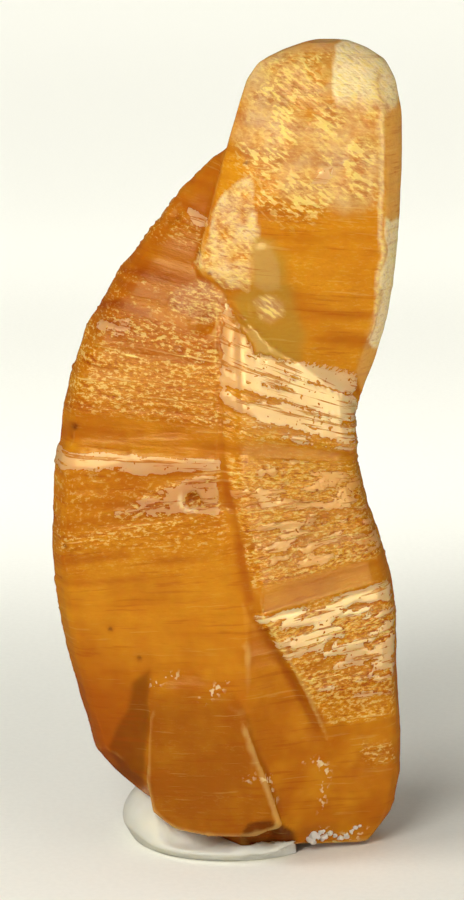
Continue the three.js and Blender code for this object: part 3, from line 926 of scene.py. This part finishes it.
def frosting(here, etch):
    """How sugary each point is."""
    frost = 0.05 + here.on_left * (along(LEFT_FROST, here.layer) - 0.05)
    frost = over(frost, along(RIGHT_FROST, here.layer), here.on_right)
    frost = over(frost, 0.4, here.hidden)
    frost = over(frost, 0.14, here.upper)
    frost = over(frost, 0.08, np.maximum(here.foot, here.groove))
    frost = np.clip(frost * (1 + 0.9 * here.bands), 0, 1)
    for outline, amount in FROSTED:
        frost = over(frost, amount, here.patch(outline))
    frost = over(frost, 0.6, np.maximum(etch, here.patch(LOW_SPARKLE)))
    frost = over(frost, 0.08, here.patch(CLEAR_WINDOW, WINDOW_BLUR))
    frost = over(frost, 0.15, here.reddened)
    return over(frost, 0.25, here.window_glint)


def plating(here):
    """The share of the face that growth plates cover at each point, and how bright they are."""
    shine = here.on_left * along(LEFT_SHINE, here.layer) + here.on_right * along(RIGHT_SHINE, here.layer)
    shine += 0.1 * here.hidden
    shine -= 0.25 * here.on_right * fall(here.layer, 10.0, 10.6) * fall(here.aside, 1.5, 4.0)
    shine -= 0.3 * here.on_right * here.beside_ridge
    for outline, amount in PLATED:
        shine = over(shine, amount, here.patch(outline, SHARP))
    gleam = over(0.35, along(RIGHT_GLEAM, here.layer), here.on_right)
    gleam = over(gleam, 0.25, np.maximum(here.patch(PINK_SHEEN_WEDGE), here.patch(PINK_SHEEN_BAND)))
    gleam += 0.25 * field(here.points, 1.5, 33) - 0.3 * here.beside_ridge
    outside_pit = rise(here.from_pit, 0.3, 0.5)
    return np.clip(shine, 0, 1) * outside_pit, np.clip(gleam, 0, 1)


def shades(here):
    """How far each colour of the crystals covers each point."""
    across = here.points[:, 0]
    on_left, layer, low = here.on_left, here.layer, here.low

    light = 0.26 + 0.35 * here.calm_bands + 0.46 * here.upper + 0.45 * here.on_right
    light -= 0.15 * rise(layer, 20.3, 21.8) * on_left
    light -= 0.35 * here.on_right * fall(along(RIGHT_FROST, layer), 0.15, 0.35)
    light += 0.25 * rise(layer, 7.0, 9.5) * fall(layer, 13.5, 15.0) * on_left
    light = np.clip(light - 0.25 * low * fall(across, 0.0, 2.5), 0, 1)
    # The faces of the upper crystal that turn to the right are lightened: painted light.
    light = np.clip(light + (0.3 + 0.3 * low) * here.mottle + 0.6 * here.side, 0, 1)

    # Ember in the groove is painted shade in the recess between the crystals.
    ember = 0.4 * fall(here.calm_bands, -0.7, -0.1) + 0.5 * here.groove
    ember += 0.3 * rise(layer, 20.5, 22.0) * on_left
    ember += 0.75 * low * fall(across, -5.5, -2.0) + 0.15 * low
    ember = over(np.clip(ember, 0, 1), 1.0, here.reddened)

    under_foot = 0.3 * here.foot * fall(here.view[:, 1], 5.5, 7.2)
    brown = np.maximum(under_foot, 0.6 * here.patch(FOOT_SHADE))
    # Painted shade under the foot's lip.
    brown = np.maximum(brown, here.patch(SHADE_UNDER_LIP, 0.2))
    brown = np.maximum(brown, 0.15 * here.reddened)
    for mark in (here.nick, *(here.spot(speck, SPECK_SIZE) for speck in SPECKS)):
        brown = np.maximum(brown, mark)

    bright_top = zone(here.stray, BRIGHT_TOP, 0.7)
    cloudy_top = np.clip(0.25 + 0.25 * broken(here.points, 1.6, 31), 0, 1)
    # Cream on the right-turned faces is painted light, as is the cream of the side strip and rim line below.
    cream = np.maximum(bright_top * cloudy_top, 0.14 * here.side)
    cap_fade = rise(here.stray[:, 1] + 0.4 * here.mottle, 29.2, 30.2)
    cream = over(cream, 0.9, zone(here.stray, PALE_CAP, SHARP) * cap_fade)
    for outline, amount in CREAMY:
        cream = over(cream, amount, zone(here.stray, outline, SHARP))
    cloudy_facet = np.clip(0.36 + 0.5 * broken(here.points, 0.9, 47), 0, 1)
    cream = over(cream, cloudy_facet, zone(here.stray, FROSTED_FACET, SHARP))
    cream = over(cream, 0.2, here.patch(GREY_CORNER))
    cream = over(cream, 0.12, here.patch(LENS, 0.25))
    cream = over(cream, 0.35, here.window_glint)
    # The pit's rim gets a painted highlight.
    cream = over(cream, 0.85, here.pit_rim * here.front)

    straw_top = 0.35 * bright_top * rise(broken(here.points, 1.4, 44), -0.1, 0.5)
    straw = np.maximum(0.75 * here.patch(CLEAR_WINDOW, WINDOW_BLUR), straw_top)
    straw = over(straw, 0.3, here.window_glint)
    return {"light": light, "ember": ember, "brown": brown, "straw": straw, "cream": cream}


def low_relief(here, look, etch, shine):
    """How far each point is moved outwards, in millimetres."""
    striation, terrace = look.striation / MM, look.terrace / MM
    striped = (1 - here.upper) * (1 - here.on_right) * (1 - here.foot) * (1 - 0.6 * here.low)
    height = striation * (rise(here.calm_bands, -0.12, 0.12) - 0.5) * striped
    height += terrace * rise(shine - here.relief, -0.05, 0.05) * rise(shine, 0.0, 0.1)
    height += striation * etch * field(here.points @ slanted(ETCHING_LEAN), ETCHING_LUMPS, 6)
    swell = SWELL * field(here.points, 1.4, 8) + MOTTLED_SWELL * here.mottle
    height += swell * (1 - 0.8 * here.on_right)
    pit = PIT_DEPTH * np.exp(-((here.from_pit / PIT_SIZE) ** 2)) - PIT_RIM * here.pit_rim
    return height - here.front * pit - NICK_DEPTH * here.nick


def sculpt_crystals(draft, look):
    """Adds growth lines, plates and wear to the crystals, and marks the zones of their look."""
    mesh = draft.data
    here = CrystalSurvey(mesh)
    etch = etching(here)
    frost = frosting(here, etch)
    shine, gleam = plating(here)
    etch = over(etch, 1.2, here.window_glint)
    height = low_relief(here, look, etch, shine)
    place(mesh, here.points + here.outward * height[:, None])
    marks = {
        "growth": here.growth,
        **shades(here),
        "frost": frost,
        "etch": etch,
        "shine": shine,
        "relief": here.relief,
        "gleam": gleam,
        "bulge": here.bulge,
        "clear": here.patch(CLEAR_WINDOW, WINDOW_BLUR),
        "smear_and_glint": sum(here.patch(outline) for outline in SMEARS_AND_GLINTS),
    }
    for name, values in marks.items():
        paint(mesh, name, values)


def slanted(degrees):
    """The matrix that turns points so that a line falling to the right at this angle lies level."""
    turn = math.radians(degrees)
    level, upright = math.cos(turn), math.sin(turn)
    return np.array(((level, 0, upright), (0, 1, 0), (-upright, 0, level)))


def surface_of(piece):
    """A search tree of a finished piece's surface, in millimetres."""
    mesh = piece.data
    return BVHTree.FromPolygons([v.co / MM for v in mesh.vertices], [p.vertices for p in mesh.polygons])


def add_crumbs(draft, tree):
    """Presses the crumbs of putty onto the front of the crystals."""
    made = bmesh.new()
    made.from_mesh(draft.data)
    coarse, fine = CRUMB_WAVES
    for across, height, radius in CRUMBS:
        hit, _, _, _ = tree.ray_cast(Vector((across, CRUMB_START, height)), Vector((0, 1, 0)))
        if hit is None:
            continue
        ball = {"subdivisions": 3, "radius": radius, "matrix": Matrix.Translation(hit)}
        for vertex in bmesh.ops.create_icosphere(made, **ball)["verts"]:
            wave = noise.noise(vertex.co * coarse) + FINE_CRUMB_WAVE * noise.noise(vertex.co * fine)
            vertex.co = hit + (vertex.co - hit) * (1 + CRUMB_LUMPINESS * wave)
    made.to_mesh(draft.data)
    made.free()


def sculpt_putty(draft, look, tree):
    """Draws the putty up against the crystals and gives it the lumps of a pressed pad."""
    mesh = draft.data
    points = smoothed(coordinates(mesh), edge_pairs(mesh), PUTTY_ROUNDS)
    reach = look.reach / MM
    lumps = field(points, 1.3, 21)
    for index, point in enumerate(points):
        point[2] *= 1 - FRONT_FLATTENING * fall(point[1], -2.5, -1.0)
        if point[2] < PUTTY_FOOT:
            continue
        nearest, normal, _, distance = tree.find_nearest(Vector(point), reach)
        if nearest is not None:
            pull = 1 - (distance / reach) ** 2
            points[index] += np.array((nearest - normal * PUTTY_OVERLAP) - Vector(point)) * pull
        points[index][2] += PUTTY_LUMP * lumps[index] * min(1.0, point[2])
    points[:, 2] = np.maximum(points[:, 2], 0.0)
    place(mesh, points)


def softbox(name, kind, position, size, radiance):
    """A rectangular light that faces the crystals or, if it is for the floor, straight down."""
    floor = kind == "floor"
    light = bpy.data.lights.new(name, "AREA")
    light.shape = "RECTANGLE"
    light.size, light.size_y = (side * MM for side in size)
    light.energy = radiance * math.pi * light.size * light.size_y
    light.color = WHITE if floor or kind == "matt" else WARM
    light.spread = FLOOR_SPREAD if floor else math.pi
    lamp = bpy.data.objects.new(name, light)
    lamp.location = Vector(position) * MM
    aim = Vector((*position[:2], 0)) * MM if floor else CAMERA_TARGET
    lamp.rotation_euler = (lamp.location - aim).to_track_quat("Z", "Y").to_euler()
    lamp.visible_diffuse = floor or kind == "matt"
    lamp.visible_glossy = kind == "plate"
    lamp.visible_transmission = kind == "glass"
    bpy.context.scene.collection.objects.link(lamp)


class SPECIMEN_OT_crystals(bpy.types.Operator):
    """Builds the group of crystals."""

    bl_idname = "specimen.crystals"
    bl_label = "Sapphire crystals"

    def execute(self, context):
        look = context.scene.sapphire_look
        draft = remeshed(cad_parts[CRYSTALS], CRYSTALS_PIECE, look.grain)
        sculpt_crystals(draft, look)
        settle(draft, sapphire_material(look), CRYSTALS)
        return {"FINISHED"}


class SPECIMEN_OT_putty(bpy.types.Operator):
    """Builds the pad of putty and its crumbs."""

    bl_idname = "specimen.putty"
    bl_label = "Mounting putty"

    def execute(self, context):
        look = context.scene.putty_look
        crystals = bpy.data.objects.get(CRYSTALS_PIECE)
        if crystals is None:
            raise RuntimeError("build the crystals before the putty")
        draft = remeshed(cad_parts[PUTTY], PUTTY_PIECE, look.grain)
        tree = surface_of(crystals)
        sculpt_putty(draft, look, tree)
        add_crumbs(draft, tree)
        settle(draft, putty_material(look), PUTTY)
        return {"FINISHED"}


class SPECIMEN_OT_stage(bpy.types.Operator):
    """Builds the sheet of paper, the lights and the camera."""

    bl_idname = "specimen.stage"
    bl_label = "Table, lights and camera"

    def execute(self, context):
        look = context.scene.stage_look
        self.sweep(look)
        self.lights(context.scene, look)
        self.camera(context.scene)
        return {"FINISHED"}

    @staticmethod
    def sweep(look):
        """A round sheet of paper that curves up at its rim."""
        profile = [(CENTRE_RADIUS, 0.0), (FLOOR_RADIUS, 0.0)]
        for step in range(1, RIM_STEPS + 1):
            turn = math.pi / 2 * step / RIM_STEPS
            reach = FLOOR_RADIUS + RIM_RADIUS * math.sin(turn)
            profile.append((reach, RIM_RADIUS * (1 - math.cos(turn))))
        profile.append((FLOOR_RADIUS + RIM_RADIUS, WALL_TOP))
        turns = [2 * math.pi * side / FLOOR_SIDES for side in range(FLOOR_SIDES)]
        form = bmesh.new()
        rings = []
        for reach, height in profile:
            ring = [(reach * math.cos(turn), reach * math.sin(turn), height) for turn in turns]
            rings.append([form.verts.new(Vector(corner) * MM) for corner in ring])
        form.faces.new(rings[0])
        for low, high in zip(rings, rings[1:]):
            for side in range(FLOOR_SIDES):
                after = (side + 1) % FLOOR_SIDES
                form.faces.new((low[side], low[after], high[after], high[side]))
        mesh = bpy.data.meshes.new("paper_sweep")
        form.to_mesh(mesh)
        form.free()
        mesh.polygons.foreach_set("use_smooth", np.ones(len(mesh.polygons), bool))
        mesh.materials.append(paper_material(look))
        paper = bpy.data.objects.new("paper_sweep", mesh)
        paper.visible_glossy = False
        bpy.context.scene.collection.objects.link(paper)

    @staticmethod
    def lights(scene, look):
        """Soft daylight and the softboxes."""
        world = bpy.data.worlds.new("soft_daylight")
        world.use_nodes = True
        background = world.node_tree.nodes["Background"]
        background.inputs["Color"].default_value = SKY
        background.inputs["Strength"].default_value = look.daylight
        scene.world = world
        for light in LIGHTS:
            softbox(*light)

    @staticmethod
    def camera(scene):
        """The photographer's camera, in front of the crystals and a little above them."""
        data = bpy.data.cameras.new("photo_camera")
        data.lens = CAMERA_LENS
        data.sensor_width = CAMERA_SENSOR
        data.clip_start, data.clip_end = CAMERA_CLIP
        camera = bpy.data.objects.new("photo_camera", data)
        towards = Vector(TOWARDS_CAMERA)
        camera.location = CAMERA_TARGET + towards * CAMERA_DISTANCE
        camera.rotation_euler = towards.to_track_quat("Z", "Y").to_euler()
        scene.collection.objects.link(camera)
        scene.camera = camera
        scene.view_settings.view_transform = "Standard"


class SPECIMEN_PT_sidebar(bpy.types.Panel):
    """Lists the pieces of the specimen and what can be changed."""

    bl_label = "Sapphire crystal specimen"
    bl_idname = "SPECIMEN_PT_sidebar"
    bl_space_type = "VIEW_3D"
    bl_region_type = "UI"
    bl_category = "Specimen"

    def draw(self, context):
        scene = context.scene
        parts = (
            (scene.sapphire_look, "specimen.crystals"),
            (scene.putty_look, "specimen.putty"),
            (scene.stage_look, "specimen.stage"),
        )
        for look, operator in parts:
            box = self.layout.box()
            for name in look.__annotations__:
                box.prop(look, name)
            box.operator(operator)


CLASSES = (
    SapphireLook,
    PuttyLook,
    StageLook,
    SPECIMEN_OT_crystals,
    SPECIMEN_OT_putty,
    SPECIMEN_OT_stage,
    SPECIMEN_PT_sidebar,
)


def register():
    for cls in CLASSES:
        bpy.utils.register_class(cls)
    bpy.types.Scene.sapphire_look = PointerProperty(type=SapphireLook)
    bpy.types.Scene.putty_look = PointerProperty(type=PuttyLook)
    bpy.types.Scene.stage_look = PointerProperty(type=StageLook)


def unregister():
    del bpy.types.Scene.stage_look
    del bpy.types.Scene.putty_look
    del bpy.types.Scene.sapphire_look
    for cls in reversed(CLASSES):
        bpy.utils.unregister_class(cls)


def main():
    register()
    bpy.ops.specimen.stage()
    bpy.ops.specimen.crystals()
    bpy.ops.specimen.putty()


if __name__ == "__main__":
    main()
